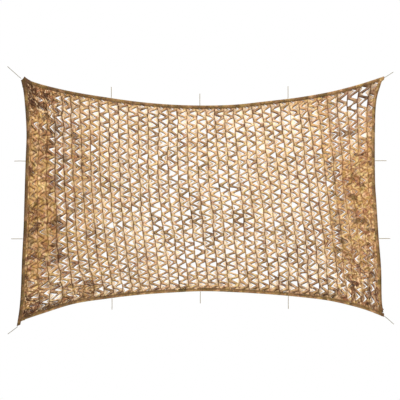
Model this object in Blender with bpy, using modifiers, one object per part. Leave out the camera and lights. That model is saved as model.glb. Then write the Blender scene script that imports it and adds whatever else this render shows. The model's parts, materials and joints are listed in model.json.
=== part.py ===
"""Camouflage netting: one incised cloth sheet stretched upright by its ties.

The net hangs in the XZ plane, Z up, face towards -Y.  The origin is the
middle of its top edge, which is what holds it up.  All lengths are metres.

The sheet is drawn on a lattice of COLUMNS by ROWS cut cells.  place() lays a
lattice position (u across, v down) inside the four sagging edges, and lift()
gives how far the cloth stands out of the plane there.
"""
import math

import bmesh
import bpy
from mathutils import Vector
from mathutils.geometry import delaunay_2d_cdt

# ---------------------------------------------------------------- dimensions
CLOTH = 0.002            # thickness of the net cloth
COLUMNS = 37             # columns of cuts across the net
ROWS = 21                # rows of cuts down the net
BINDING = 0.028          # width of the folded edge binding
SLOT_DEPTH = 0.0133      # how far the cloth reaches into the binding
SLOT_HALF = 0.0014       # half of the slot that takes the cloth
LIP_HALF = 0.0026        # half thickness of the binding at its sewn lip
ROPE_HALF = 0.0036       # half thickness where the binding wraps its rope
FOLD_HALF = 0.0022       # half thickness at the outer fold
GAP = 0.0003             # gap between pieces that touch
CORD = 0.005             # diameter of the tie cords
LONG_STATIONS = 20       # facets along the top and bottom bindings
SHORT_STATIONS = 12      # facets along the side bindings
INSET = BINDING - SLOT_DEPTH + GAP      # cloth edge, in from the outer fold

# Outer fold of each edge.  Top and bottom: x, height.  Sides: height, x.
TOP_EDGE = (
    # x       z
    (-1.494, 0.230), (-1.328, 0.174), (-1.062, 0.112), (-0.797, 0.068),
    (-0.531, 0.031), (-0.266, 0.008), (0.000, 0.000), (0.266, 0.007),
    (0.531, 0.035), (0.797, 0.067), (1.062, 0.114), (1.295, 0.174),
    (1.500, 0.240),
)
BOTTOM_EDGE = (
    # x       z
    (-1.527, -1.789), (-1.328, -1.722), (-1.062, -1.640), (-0.797, -1.598),
    (-0.531, -1.566), (-0.266, -1.547), (0.000, -1.535), (0.266, -1.543),
    (0.531, -1.559), (0.797, -1.582), (1.062, -1.616), (1.328, -1.682),
    (1.502, -1.747),
)
LEFT_EDGE = (
    # z       x
    (-1.824, -1.533), (-1.789, -1.527), (-1.681, -1.511), (-1.548, -1.500),
    (-1.282, -1.490), (-1.017, -1.477), (-0.751, -1.469), (-0.486, -1.461),
    (-0.220, -1.453), (0.046, -1.469), (0.230, -1.494),
)
RIGHT_EDGE = (
    # z       x
    (-1.747, 1.502), (-1.614, 1.484), (-1.349, 1.478), (-1.083, 1.457),
    (-0.817, 1.440), (-0.618, 1.428), (-0.154, 1.428), (0.046, 1.440),
    (0.178, 1.476), (0.240, 1.500),
)

# How far the cut columns and rows drift from an even spread.
COLUMN_DRIFT = (
    # power of u, power of v, share
    (0, 0, -0.25), (1, 0, 0.80), (0, 1, 0.10), (1, 1, -0.96),
    (2, 0, -0.74), (0, 2, 0.52), (2, 1, 1.91), (1, 2, -0.95),
)
ROW_DRIFT = (
    # power of u, power of v, share
    (0, 0, -0.15), (1, 0, 0.30), (0, 1, 0.49), (1, 1, -0.60),
    (2, 0, -0.11), (2, 1, -0.13),
)

# Slow waves of the hanging cloth out of its plane.
BILLOWS = (
    # height,  waves across, waves down, phase
    (-0.014, 0.50, 0.50, 0.00),
    (0.006, 1.60, 0.70, 0.80),
    (0.004, 2.70, 1.90, 2.10),
    (0.003, 4.30, 1.30, 4.00),
)
EDGE_FLAT = 0.036        # cloth this close to an edge follows the binding
EDGE_RAMP = 0.240        # and is free of it from here

# A triangular gap: flat side on a column line, point past mid column.
GAP_FLAT = 0.07          # flat side, in from the column line, in columns
GAP_POINT = 0.51         # point of the triangle, in columns
GAP_HALF = 0.32          # half of the flat side, in rows
CUT_COLUMN = 0.336       # first column line of the cuts, in from the left edge
CUT_ROW = -0.18          # first row of the cuts, from the top edge, in rows
EDGE_CLEAR = 0.25        # no gap is cut through this close to an edge, in rows
# The gaps that are cut through: pairs of triangles at these lattice cells.
GAP_FIELDS = (
    # first column, last column, step, first row, last row, step
    (5, 31, 2, 1, 19, 2),
    (33, 35, 1, 0, 2, 1),
)

# Tie cords: edge it leaves, place along that edge, heading in degrees from
# +X towards +Z, length.
TIES = (
    # name,            edge,     place,  heading, length
    ("tie_corner_tl", "tip_tl", 0.222, 138.4, 0.152),
    ("tie_corner_tr", "tip_tr", 0.228, 32.0, 0.091),
    ("tie_corner_bl", "tip_bl", -1.524, 216.7, 0.104),
    ("tie_corner_br", "tip_br", -1.740, 319.2, 0.104),
    ("tie_top_1", "top", -0.752, 90.0, 0.092),
    ("tie_top_2", "top", -0.020, 90.0, 0.098),
    ("tie_top_3", "top", 0.708, 90.0, 0.103),
    ("tie_bottom_1", "bottom", -0.746, 270.0, 0.095),
    ("tie_bottom_2", "bottom", -0.016, 270.0, 0.099),
    ("tie_bottom_3", "bottom", 0.711, 270.0, 0.107),
    ("tie_left_1", "left", -0.460, 180.0, 0.093),
    ("tie_left_2", "left", -1.102, 180.0, 0.097),
    ("tie_right_1", "right", -0.457, 0.0, 0.096),
    ("tie_right_2", "right", -1.100, 0.0, 0.093),
)

# ------------------------------------------------------------------ geometry


def curve_value(rows, at):
    """Smooth reading of a table of (position, value) rows."""
    last = len(rows) - 1
    at = min(max(at, rows[0][0]), rows[last][0])
    k = 0
    while k < last - 1 and at > rows[k + 1][0]:
        k += 1

    def slope(i):
        lo, hi = max(i - 1, 0), min(i + 1, last)
        return (rows[hi][1] - rows[lo][1]) / (rows[hi][0] - rows[lo][0])

    span = rows[k + 1][0] - rows[k][0]
    t = (at - rows[k][0]) / span
    a, b = slope(k) * span, slope(k + 1) * span
    return ((2 * t ** 3 - 3 * t ** 2 + 1) * rows[k][1]
            + (t ** 3 - 2 * t ** 2 + t) * a
            + (3 * t ** 2 - 2 * t ** 3) * rows[k + 1][1]
            + (t ** 3 - t ** 2) * b)


def lean(rows, at):
    """Length of the edge's slant per unit along its table."""
    step = 0.01
    rise = curve_value(rows, at + step) - curve_value(rows, at - step)
    return math.hypot(1.0, rise / (2 * step))


def top_at(x, inset):
    return curve_value(TOP_EDGE, x) - inset * lean(TOP_EDGE, x)


def bottom_at(x, inset):
    return curve_value(BOTTOM_EDGE, x) + inset * lean(BOTTOM_EDGE, x)


def left_at(z, inset):
    return curve_value(LEFT_EDGE, z) + inset * lean(LEFT_EDGE, z)


def right_at(z, inset):
    return curve_value(RIGHT_EDGE, z) - inset * lean(RIGHT_EDGE, z)


def drift(rows, u, v):
    return sum(share * u ** i * v ** j for i, j, share in rows)


def place(u, v, inset=INSET):
    """x and z of lattice position u, v (0..1 each, v down)."""
    across = u + u * (1 - u) * drift(COLUMN_DRIFT, u, v)
    down = v + v * (1 - v) * drift(ROW_DRIFT, u, v)
    x, z = 3.0 * (across - 0.5), -1.8 * down
    for _ in range(8):
        left, right = left_at(z, inset), right_at(z, inset)
        x = left + (right - left) * across
        top, bottom = top_at(x, inset), bottom_at(x, inset)
        z = top + (bottom - top) * down
    return x, z


def near(distance):
    t = (distance - EDGE_FLAT) / (EDGE_RAMP - EDGE_FLAT)
    t = min(max(t, 0.0), 1.0)
    return 1 - t * t * (3 - 2 * t)


def lift(u, v):
    """y of the cloth at lattice position u, v; the edges are in one plane."""
    top, bottom = near(v * 1.70), near((1 - v) * 1.70)
    left, right = near(u * 2.90), near((1 - u) * 2.90)
    free = (1 - top) * (1 - bottom) * (1 - left) * (1 - right)
    billow = sum(height * math.sin(2 * math.pi * a * u + phase)
                 * math.sin(2 * math.pi * b * v + 0.5 * phase)
                 for height, a, b, phase in BILLOWS)
    return free * billow


# ------------------------------------------------------------------ building


def material(name, colour, roughness):
    mat = bpy.data.materials.new(name)
    mat.use_nodes = True
    shader = mat.node_tree.nodes["Principled BSDF"]
    shader.inputs["Base Color"].default_value = (*colour, 1.0)
    shader.inputs["Roughness"].default_value = roughness
    shader.inputs["Metallic"].default_value = 0.0
    mat.diffuse_color = (*colour, 1.0)
    return mat


def add_mesh(name, bm, mat, collection):
    mesh = bpy.data.meshes.new(name)
    bm.to_mesh(mesh)
    bm.free()
    mesh.materials.append(mat)
    obj = bpy.data.objects.new(name, mesh)
    collection.objects.link(obj)
    return obj


def gap_triangles():
    """Lattice corners of every gap that is cut through, in columns, rows."""
    for first_col, last_col, col_step, first_row, last_row, row_step \
            in GAP_FIELDS:
        for col in range(first_col, last_col + 1, col_step):
            for row in range(first_row, last_row + 1, row_step):
                line = col + CUT_COLUMN
                for mid, flat, point in (
                        (row + 0.5 + CUT_ROW, GAP_FLAT, GAP_POINT),
                        (row + 1.0 + CUT_ROW, 1 - GAP_FLAT, 1 - GAP_POINT)):
                    if EDGE_CLEAR < mid - GAP_HALF:
                        yield ((line + flat, mid - GAP_HALF),
                               (line + flat, mid + GAP_HALF),
                               (line + point, mid))


def in_gap_field(u, v):
    return any(a - 0.9 < u * COLUMNS < b + 2.5 and c - 1.4 < v * ROWS < d + 2.5
               for a, b, _, c, d, _ in GAP_FIELDS)


def build_net(mat, collection):
    points = []                          # (x, z, y)

    def add(x, z, y):
        points.append((x, z, y))
        return len(points) - 1

    # outer boundary, counter-clockwise seen from the front
    nu, nv = LONG_STATIONS, SHORT_STATIONS
    rim = []
    for k in range(nu):
        u = k / nu
        x, z = place(u, 1.0)
        rim.append(add(x, z, 0.0))
    for k in range(nv):
        v = 1 - k / nv
        x, z = place(1.0, v)
        rim.append(add(x, z, 0.0))
    for k in range(nu):
        u = 1 - k / nu
        x, z = place(u, 0.0)
        rim.append(add(x, z, 0.0))
    for k in range(nv):
        v = k / nv
        x, z = place(0.0, v)
        rim.append(add(x, z, 0.0))
    edges = [(rim[k], rim[(k + 1) % len(rim)]) for k in range(len(rim))]

    # a row of points just inside the binding keeps the cloth flat in its slot
    ring = BINDING + 0.004
    for k in range(1, nu):
        u = k / nu
        x, _ = place(u, 0.0)
        add(x, top_at(x, ring), 0.0)
        x, _ = place(u, 1.0)
        add(x, bottom_at(x, ring), 0.0)
    for k in range(1, nv):
        v = k / nv
        _, z = place(0.0, v)
        add(left_at(z, ring), z, 0.0)
        _, z = place(1.0, v)
        add(right_at(z, ring), z, 0.0)
    for u in (0.0, 1.0):
        for v in (0.0, 1.0):
            x, z = place(u, v, ring)
            add(x, z, 0.0)

    # the open cloth between
    for i in range(1, nu):
        for j in range(1, nv):
            u, v = i / nu, j / nv
            if in_gap_field(u, v):
                continue
            x, z = place(u, v)
            add(x, z, lift(u, v))

    # gaps
    holes = []
    for corners in gap_triangles():
        ids = []
        for col, row in corners:
            u, v = col / COLUMNS, row / ROWS
            x, z = place(u, v)
            ids.append(add(x, z, lift(u, v)))
        holes.append(ids)
        edges += [(ids[0], ids[1]), (ids[1], ids[2]), (ids[2], ids[0])]

    flat = [Vector((x, z)) for x, z, _ in points]
    verts, _, faces, origin, _, _ = delaunay_2d_cdt(
        flat, edges, [], 1, 1e-6, True)
    height = [points[src[0]][2] if src else 0.0 for src in origin]
    index = {src[0]: k for k, src in enumerate(origin) if src}
    hole_sets = [frozenset(index[k] for k in ids) for ids in holes]

    bm = bmesh.new()
    bverts = [bm.verts.new((p.x, height[k], p.y)) for k, p in enumerate(verts)]
    outline = [Vector(flat[k]) for k in rim]
    for face in faces:
        if frozenset(face) in hole_sets:
            continue
        mid = sum((verts[k] for k in face), Vector((0.0, 0.0))) / len(face)
        inside = False
        for k, a in enumerate(outline):
            b = outline[k - 1]
            if (a.y > mid.y) != (b.y > mid.y):
                if mid.x < (b.x - a.x) * (mid.y - a.y) / (b.y - a.y) + a.x:
                    inside = not inside
        if inside:
            bm.faces.new([bverts[k] for k in face])
    loose = [v for v in bm.verts if not v.link_faces]
    bmesh.ops.delete(bm, geom=loose, context="VERTS")
    bmesh.ops.recalc_face_normals(bm, faces=bm.faces)
    if sum(f.normal.y for f in bm.faces) > 0:
        bmesh.ops.reverse_faces(bm, faces=bm.faces)
    obj = add_mesh("net_cloth", bm, mat, collection)
    solid = obj.modifiers.new("cloth thickness", "SOLIDIFY")
    solid.thickness = CLOTH
    solid.offset = 0.0
    return obj


def binding_section():
    """(distance in from the fold, height) round the folded strip."""
    slot = BINDING - SLOT_DEPTH
    return (
        (0.0, -FOLD_HALF), (0.005, -ROPE_HALF), (BINDING, -LIP_HALF),
        (BINDING, -SLOT_HALF), (slot, -SLOT_HALF), (slot, SLOT_HALF),
        (BINDING, SLOT_HALF), (BINDING, LIP_HALF), (0.005, ROPE_HALF),
        (0.0, FOLD_HALF),
    )


# The cut end of a binding: two arms and the fold between them.
BINDING_END = ((0, 1, 2, 3, 4), (0, 4, 5, 9), (5, 6, 7, 8, 9))


def facet_value(rows, at):
    """Reading of a faceted edge between its stations."""
    if at <= rows[0][0]:
        return rows[0][1]
    for (a, p), (b, q) in zip(rows, rows[1:]):
        if a <= at <= b:
            return p + (q - p) * (at - a) / (b - a)
    return rows[-1][1]


def facet_reader(marks, reader):
    """The edge as the cloth's facets run between marks, true beyond them."""
    def at(where, inset):
        if marks[0] <= where <= marks[-1]:
            return facet_value([(m, reader(m, inset)) for m in marks], where)
        return reader(where, inset)
    return at


def sweep(name, stations, mat, collection):
    """Closed body through rings of equal point counts."""
    bm = bmesh.new()
    rings = [[bm.verts.new(p) for p in ring] for ring in stations]
    count = len(rings[0])
    for a, b in zip(rings, rings[1:]):
        for k in range(count):
            n = (k + 1) % count
            bm.faces.new((a[k], a[n], b[n], b[k]))
    for ring in (rings[0], rings[-1]):
        for corners in BINDING_END:
            bm.faces.new([ring[k] for k in corners])
    bmesh.ops.triangulate(bm, faces=bm.faces)
    bmesh.ops.recalc_face_normals(bm, faces=bm.faces)
    obj = add_mesh(name, bm, mat, collection)
    return obj


def long_edge(name, edge, reader, x_low, x_high, mat, collection):
    """Binding along the top or bottom."""
    v = 0.0 if edge == "top" else 1.0
    marks = [place(k / LONG_STATIONS, v)[0] for k in range(LONG_STATIONS + 1)]
    rows = ([x_low] + [x for x in marks if x_low + 0.004 < x < x_high - 0.004]
            + [x_high])
    at = facet_reader(marks, reader)
    stations = [[(x, h, at(x, d)) for d, h in binding_section()] for x in rows]
    sweep(name, stations, mat, collection)
    return [(x, at(x, 0.0)) for x in rows]


def short_edge(name, edge, reader, z_low, z_high, mat, collection):
    """Binding along the left or right."""
    u = 0.0 if edge == "left" else 1.0
    marks = sorted(place(u, k / SHORT_STATIONS)[1]
                   for k in range(SHORT_STATIONS + 1))
    rows = ([z_low] + [z for z in marks if z_low + 0.004 < z < z_high - 0.004]
            + [z_high])
    at = facet_reader(marks, reader)
    stations = [[(at(z, d), h, z) for d, h in binding_section()] for z in rows]
    sweep(name, stations, mat, collection)
    return [(z, at(z, 0.0)) for z in rows]


def tie(name, start, heading, length, mat, collection):
    step = CORD * 2.3
    count = max(4, int(round(length / step)) + 1)
    way = Vector((math.cos(math.radians(heading)), 0.0,
                  math.sin(math.radians(heading))))
    curve = bpy.data.curves.new(name, "CURVE")
    curve.dimensions = "3D"
    curve.bevel_depth = CORD / 2
    curve.bevel_resolution = 2
    curve.use_fill_caps = True
    spline = curve.splines.new("POLY")
    spline.points.add(count - 1)
    for k in range(count):
        p = start + way * (length * k / (count - 1))
        spline.points[k].co = (p.x, p.y, p.z, 1.0)
    curve.materials.append(mat)
    obj = bpy.data.objects.new(name, curve)
    collection.objects.link(obj)
    return obj


def main():
    for obj in list(bpy.data.objects):
        bpy.data.objects.remove(obj)
    collection = bpy.data.collections.new("camouflage_netting")
    bpy.context.scene.collection.children.link(collection)

    net_mat = material("net_cloth", (0.42, 0.27, 0.14), 0.9)
    edge_mat = material("binding", (0.30, 0.19, 0.09), 0.9)
    cord_mat = material("tie_cord", (0.42, 0.38, 0.28), 0.85)

    build_net(net_mat, collection)

    # corner joints: the top runs through, the left runs out past the bottom
    x_tl, x_tr = TOP_EDGE[0][0], TOP_EDGE[-1][0]
    top = long_edge("binding_top", "top", top_at, x_tl, x_tr, edge_mat,
                    collection)
    reach = [k * 0.004 for k in range(12)]
    left_high = min(top_at(x_tl + s, BINDING) for s in reach) - 2 * GAP
    left_low = LEFT_EDGE[0][0]
    left = short_edge("binding_left", "left", left_at, left_low, left_high,
                      edge_mat, collection)
    z_bl = BOTTOM_EDGE[0][1]
    x_low = max(left_at(z_bl + s, BINDING) for s in reach) + 2 * GAP
    x_br = BOTTOM_EDGE[-1][0]
    bottom = long_edge("binding_bottom", "bottom", bottom_at, x_low, x_br,
                       edge_mat, collection)
    right_high = min(top_at(x_tr - s, BINDING) for s in reach) - 2 * GAP
    right_low = max(bottom_at(x_br - s, BINDING) for s in reach) + 2 * GAP
    right = short_edge("binding_right", "right", right_at, right_low,
                       right_high, edge_mat, collection)

    for name, edge, where, heading, length in TIES:
        way = (math.cos(math.radians(heading)), math.sin(math.radians(heading)))
        if edge in ("top", "bottom"):
            rows = top if edge == "top" else bottom
            sign = 1 if edge == "top" else -1
            z = facet_value(rows, where)
            slant = abs(facet_value(rows, where + 0.01)
                        - facet_value(rows, where - 0.01)) / 0.02
            off = GAP + (abs(way[0]) + slant) * CORD / 2
            start = Vector((where, 0.0, z + sign * off))
        elif edge in ("left", "right"):
            rows = left if edge == "left" else right
            sign = 1 if edge == "right" else -1
            x = facet_value(rows, where)
            slant = abs(facet_value(rows, where + 0.01)
                        - facet_value(rows, where - 0.01)) / 0.02
            off = GAP + (abs(way[1]) + slant) * CORD / 2
            start = Vector((x + sign * off, 0.0, where))
        elif edge == "tip_tl":
            off = GAP + abs(way[1]) * CORD / 2
            start = Vector((x_tl - off, 0.0, where))
        elif edge == "tip_tr":
            off = GAP + abs(way[1]) * CORD / 2
            start = Vector((x_tr + off, 0.0, where))
        elif edge == "tip_br":
            off = GAP + abs(way[1]) * CORD / 2
            start = Vector((x_br + off, 0.0, where))
        else:
            off = GAP + abs(way[0]) * CORD / 2
            start = Vector((where, 0.0, left_low - off))
        tie(name, start, heading, length, cord_mat, collection)


main()
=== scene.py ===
"""Camouflage netting: the looks.

The net hangs in the XZ plane, face towards -Y, origin at the middle of its
top edge.  The lattice of cuts, the sagging edges and the billow repeat the
sizes of the part's source.  All lengths are metres.
"""
import json
import math

import bpy
import numpy as np
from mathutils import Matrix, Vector


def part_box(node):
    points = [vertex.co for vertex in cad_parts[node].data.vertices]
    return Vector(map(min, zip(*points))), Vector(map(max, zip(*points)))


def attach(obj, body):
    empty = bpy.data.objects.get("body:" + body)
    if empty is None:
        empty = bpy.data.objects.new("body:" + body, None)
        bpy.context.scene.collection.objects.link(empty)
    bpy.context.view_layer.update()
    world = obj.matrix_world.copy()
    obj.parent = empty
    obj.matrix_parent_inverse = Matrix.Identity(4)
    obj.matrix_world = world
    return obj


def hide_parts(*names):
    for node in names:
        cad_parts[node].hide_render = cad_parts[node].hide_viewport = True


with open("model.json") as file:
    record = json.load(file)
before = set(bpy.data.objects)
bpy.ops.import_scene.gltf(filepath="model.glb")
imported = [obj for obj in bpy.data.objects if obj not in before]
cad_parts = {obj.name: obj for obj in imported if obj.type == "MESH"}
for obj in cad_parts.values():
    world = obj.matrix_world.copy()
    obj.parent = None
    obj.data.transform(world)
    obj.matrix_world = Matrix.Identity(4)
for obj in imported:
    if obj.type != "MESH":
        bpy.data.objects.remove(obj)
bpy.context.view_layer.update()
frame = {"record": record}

# ---------------------------------------------------------------- camera
PIXEL = 0.00826          # metres across one four-hundredth of the view
VIEW_X, VIEW_Z = -0.0189, -0.7811
DISTANCE = 13.0

scene = bpy.context.scene
cam_data = bpy.data.cameras.new("camera")
cam_data.sensor_width = 36.0
cam_data.lens = 36.0 * DISTANCE / (400 * PIXEL)
cam = bpy.data.objects.new("camera", cam_data)
cam.location = (VIEW_X, -DISTANCE, VIEW_Z)
cam.rotation_euler = (math.pi / 2, 0.0, 0.0)
scene.collection.objects.link(cam)
scene.camera = cam

# ---------------------------------------------------------------- colours


def srgb(r, g, b):
    """Linear colour of an 8-bit screen colour."""
    out = []
    for k in (r, g, b):
        k /= 255
        out.append(k / 12.92 if k <= 0.04045 else ((k + 0.055) / 1.055) ** 2.4)
    return (*out, 1.0)


# gold, brown, mauve, olive, sand
DESERT = (srgb(181, 143, 91), srgb(147, 105, 71), srgb(98, 66, 46),
          srgb(106, 80, 46), srgb(218, 190, 142))
# colour of the painted highlights on rims and flaps
PAINTED_HIGHLIGHT = srgb(250, 232, 206)
# colour of the painted highlights on small folds
FOLD_HIGHLIGHT = srgb(238, 210, 168)
STRIP = (srgb(150, 122, 82), srgb(128, 101, 65), srgb(104, 82, 56),
         srgb(96, 82, 48), srgb(178, 151, 108))


class Nodes:
    """Small helper to wire a material."""

    def __init__(self, name):
        self.mat = bpy.data.materials.new(name)
        self.mat.use_nodes = True
        self.tree = self.mat.node_tree
        self.shader = self.tree.nodes["Principled BSDF"]
        self.out = self.tree.nodes["Material Output"]

    def add(self, kind, **values):
        made = self.tree.nodes.new(kind)
        for key, value in values.items():
            setattr(made, key, value)
        return made

    def link(self, a, b):
        self.tree.links.new(a, b)

    def put(self, socket, value):
        if hasattr(value, "is_output") or hasattr(value, "links"):
            self.link(value, socket)
        else:
            socket.default_value = value

    def math(self, op, a, b=0.0, clamp=False):
        n = self.add("ShaderNodeMath", operation=op, use_clamp=clamp)
        self.put(n.inputs[0], a)
        self.put(n.inputs[1], b)
        return n.outputs[0]

    def attribute(self, name, vector=False):
        n = self.add("ShaderNodeAttribute", attribute_name=name)
        return n.outputs["Vector" if vector else "Fac"]

    def noise(self, vector, scale, detail=2.0, rough=0.5, offset=(0, 0, 0),
              turn=0.0, stretch=(1, 1, 1)):
        move = self.add("ShaderNodeMapping")
        self.link(vector, move.inputs["Vector"])
        move.inputs["Location"].default_value = offset
        move.inputs["Rotation"].default_value = (0, 0, turn)
        move.inputs["Scale"].default_value = stretch
        n = self.add("ShaderNodeTexNoise")
        self.link(move.outputs[0], n.inputs["Vector"])
        n.inputs["Scale"].default_value = scale
        n.inputs["Detail"].default_value = detail
        n.inputs["Roughness"].default_value = rough
        return n.outputs["Fac"]

    def step(self, value, low, high):
        """0 below low, 1 above high."""
        n = self.add("ShaderNodeMapRange", interpolation_type="SMOOTHSTEP")
        self.link(value, n.inputs["Value"])
        n.inputs["From Min"].default_value = low
        n.inputs["From Max"].default_value = high
        return n.outputs["Result"]

    def mix(self, share, a, b, blend="MIX"):
        n = self.add("ShaderNodeMix", data_type="RGBA", blend_type=blend)
        self.put(n.inputs[0], share)
        self.put(n.inputs[6], a)
        self.put(n.inputs[7], b)
        return n.outputs[2]

    def bump(self, height, strength, distance):
        n = self.add("ShaderNodeBump")
        n.inputs["Strength"].default_value = strength
        n.inputs["Distance"].default_value = distance
        self.link(height, n.inputs["Height"])
        self.link(n.outputs[0], self.shader.inputs["Normal"])


def camo(name, palette=DESERT, rough=0.92, shift=(0.0, 0.0)):
    """Printed desert cloth: soft blotches on flat cloth coordinates."""
    gold, brown_ink, mauve, olive, sand_ink = palette
    m = Nodes(name)
    cloth = m.attribute("cloth", vector=True)
    tone = m.attribute("tone")
    shade = m.attribute("shade")
    # bend the blotch outlines
    w1 = m.add("ShaderNodeTexNoise")
    m.link(cloth, w1.inputs["Vector"])
    w1.inputs["Scale"].default_value = 11.0
    w1.inputs["Detail"].default_value = 2.0
    off = m.add("ShaderNodeVectorMath", operation="SUBTRACT")
    m.link(w1.outputs["Color"], off.inputs[0])
    off.inputs[1].default_value = (0.5, 0.5, 0.5)
    grow = m.add("ShaderNodeVectorMath", operation="SCALE")
    m.link(off.outputs[0], grow.inputs[0])
    grow.inputs["Scale"].default_value = 0.085
    bent = m.add("ShaderNodeVectorMath", operation="ADD")
    m.link(cloth, bent.inputs[0])
    m.link(grow.outputs[0], bent.inputs[1])
    at = bent.outputs[0]
    near = shift
    n_brown = m.noise(at, 12.0, 4.0, 0.62, (near[0] + 3.1, near[1] + 1.7, 0.3))
    n_dark = m.noise(at, 9.5, 4.0, 0.62, (near[0] + 8.4, near[1] + 5.2, 1.9))
    n_sand = m.noise(at, 24.0, 3.0, 0.60, (near[0] + 1.3, near[1] + 9.6, 4.2))
    n_hue = m.noise(at, 6.0, 1.0, 0.5, (near[0] + 6.3, near[1] + 0.6, 2.2))
    brown = m.step(m.math("ADD", n_brown, tone), 0.47, 0.55)
    dark = m.step(m.math("ADD", n_dark, tone), 0.51, 0.58)
    sand = m.step(m.math("SUBTRACT", n_sand, tone), 0.53, 0.62)
    colour = m.mix(brown, gold, brown_ink)
    colour = m.mix(m.math("MULTIPLY", sand, 0.85), colour, sand_ink)
    strength = m.math("SUBTRACT", 0.90, m.attribute("thin"))
    colour = m.mix(m.math("MULTIPLY", dark, strength), colour,
                   m.mix(m.step(n_hue, 0.50, 0.64), mauve, olive))
    # the dyes lean to pink in some places and to green in others
    lean = m.noise(at, 30.0, 3.0, 0.6, (near[0] + 4.4, near[1] + 2.9, 6.1))
    colour = m.mix(1.0, colour,
                   m.mix(m.step(lean, 0.36, 0.64), (1.07, 0.92, 1.08, 1),
                         (0.99, 1.02, 0.78, 1)), "MULTIPLY")
    # uneven dye and dust
    mottle = m.noise(cloth, 48.0, 4.0, 0.7, (5.0, 2.0, 7.0))
    colour = m.mix(m.step(mottle, 0.30, 0.70),
                   m.mix(1.0, colour, (0.66, 0.61, 0.56, 1), "MULTIPLY"), colour)
    dust = m.noise(cloth, 5.0, 3.0, 0.6, (2.0, 6.0, 1.0))
    colour = m.mix(m.math("MULTIPLY", m.step(dust, 0.45, 0.75), 0.18), colour,
                   sand_ink)
    # small folds: painted light and painted shade, as light and dark flecks where the
    # cloth is gathered
    fleck = m.attribute("fleck")
    fold_shade_specks = m.noise(cloth, 46.0, 2.0, 0.6, (4.0, 8.0, 3.0))
    colour = m.mix(m.math("MULTIPLY", fleck, m.step(fold_shade_specks, 0.48, 0.60)),
                   colour, m.mix(1.0, colour, (0.30, 0.23, 0.19, 1), "MULTIPLY"))
    lights = m.noise(cloth, 40.0, 2.0, 0.6, (9.0, 1.0, 5.0), 0.45, (1.7, 0.8, 1))
    colour = m.mix(m.math("MULTIPLY", m.math("MULTIPLY", fleck, 0.95),
                          m.step(lights, 0.56, 0.64)), colour, FOLD_HIGHLIGHT)
    # painted highlight: rims and flaps that catch the light are mixed towards a pale
    # cream
    colour = m.mix(m.attribute("pale"), colour, PAINTED_HIGHLIGHT)
    # threads of the weave
    parts = m.add("ShaderNodeSeparateXYZ")
    m.link(cloth, parts.inputs[0])
    across = m.math("SINE", m.math("MULTIPLY", parts.outputs[0], 2 * math.pi / 0.0016))
    along = m.math("SINE", m.math("MULTIPLY", parts.outputs[1], 2 * math.pi / 0.0016))
    thread = m.math("MULTIPLY", across, along)
    lit = m.math("MULTIPLY_ADD", thread, 0.035)
    lit.node.inputs[2].default_value = 1.0
    # painted shade and painted highlight on creases, folds and rims, from the shade
    # attribute; the painted shade turns warmer as it darkens
    both = m.math("MULTIPLY", shade, lit)
    grey = m.add("ShaderNodeCombineColor")
    for k, power in enumerate((1.0, 1.10, 1.20)):
        m.link(m.math("POWER", both, power), grey.inputs[k])
    colour = m.mix(1.0, colour, grey.outputs[0], "MULTIPLY")
    m.link(colour, m.shader.inputs["Base Color"])
    m.shader.inputs["Roughness"].default_value = rough
    m.shader.inputs["Specular IOR Level"].default_value = 0.12
    m.shader.inputs["Sheen Weight"].default_value = 0.05
    m.shader.inputs["Sheen Roughness"].default_value = 0.6
    fuzz = m.noise(cloth, 900.0, 2.0, 0.6)
    height = m.math("ADD", m.math("MULTIPLY", thread, 0.5), fuzz)
    m.bump(height, 0.35, 0.0006)
    return m.mat


# ---------------------------------------------------------------- helpers


def mesh_piece(name, verts, faces, mat, smooth=True):
    mesh = bpy.data.meshes.new(name)
    mesh.from_pydata([tuple(map(float, v)) for v in verts], [],
                     [tuple(map(int, f)) for f in faces])
    mesh.materials.append(mat)
    mesh.update()
    if smooth:
        mesh.shade_smooth()
    obj = bpy.data.objects.new(name, mesh)
    scene.collection.objects.link(obj)
    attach(obj, "root")
    return obj


def put_floats(obj, name, values):
    layer = obj.data.attributes.new(name, "FLOAT", "POINT")
    layer.data.foreach_set("value", np.asarray(values, np.float32).ravel())


def put_vectors(obj, name, values):
    layer = obj.data.attributes.new(name, "FLOAT_VECTOR", "POINT")
    layer.data.foreach_set("vector", np.asarray(values, np.float32).ravel())


# ---------------------------------------------------------------- cords
CORD = 0.005
# name, heading from +X towards +Z in degrees, length
TIES = (
    ("tie_corner_tl", 138.4, 0.152), ("tie_corner_tr", 32.0, 0.091),
    ("tie_corner_bl", 216.7, 0.104), ("tie_corner_br", 319.2, 0.104),
    ("tie_top_1", 90.0, 0.092), ("tie_top_2", 90.0, 0.098),
    ("tie_top_3", 90.0, 0.103), ("tie_bottom_1", 270.0, 0.095),
    ("tie_bottom_2", 270.0, 0.099), ("tie_bottom_3", 270.0, 0.107),
    ("tie_left_1", 180.0, 0.093), ("tie_left_2", 180.0, 0.097),
    ("tie_right_1", 0.0, 0.096), ("tie_right_2", 0.0, 0.093),
)
CORD_SIDES, CORD_PITCH, STRANDS = 24, 0.016, 3


def cord_material(name, base, groove):
    m = Nodes(name)
    along = m.attribute("along")
    dip = m.attribute("groove")
    coord = m.attribute("cloth", vector=True)
    # painted shade: darker in the grooves between the strands
    colour = m.mix(m.step(dip, 0.15, 0.75), base, groove)
    spots = m.noise(coord, 260.0, 3.0, 0.6)
    colour = m.mix(m.math("MULTIPLY", m.step(spots, 0.45, 0.75), 0.45), colour,
                   groove)
    colour = m.mix(m.math("MULTIPLY", m.step(along, 0.95, 1.0), 0.5), colour,
                   srgb(120, 100, 70))
    m.link(colour, m.shader.inputs["Base Color"])
    m.shader.inputs["Roughness"].default_value = 0.8
    m.shader.inputs["Sheen Weight"].default_value = 0.1
    hair = m.noise(coord, 2400.0, 2.0, 0.7)
    m.bump(hair, 0.3, 0.0003)
    return m.mat


CORD_TAN = cord_material("cord_tan", srgb(138, 120, 72), srgb(88, 74, 42))
CORD_GREY = cord_material("cord_grey", srgb(132, 126, 100), srgb(82, 77, 58))


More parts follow.
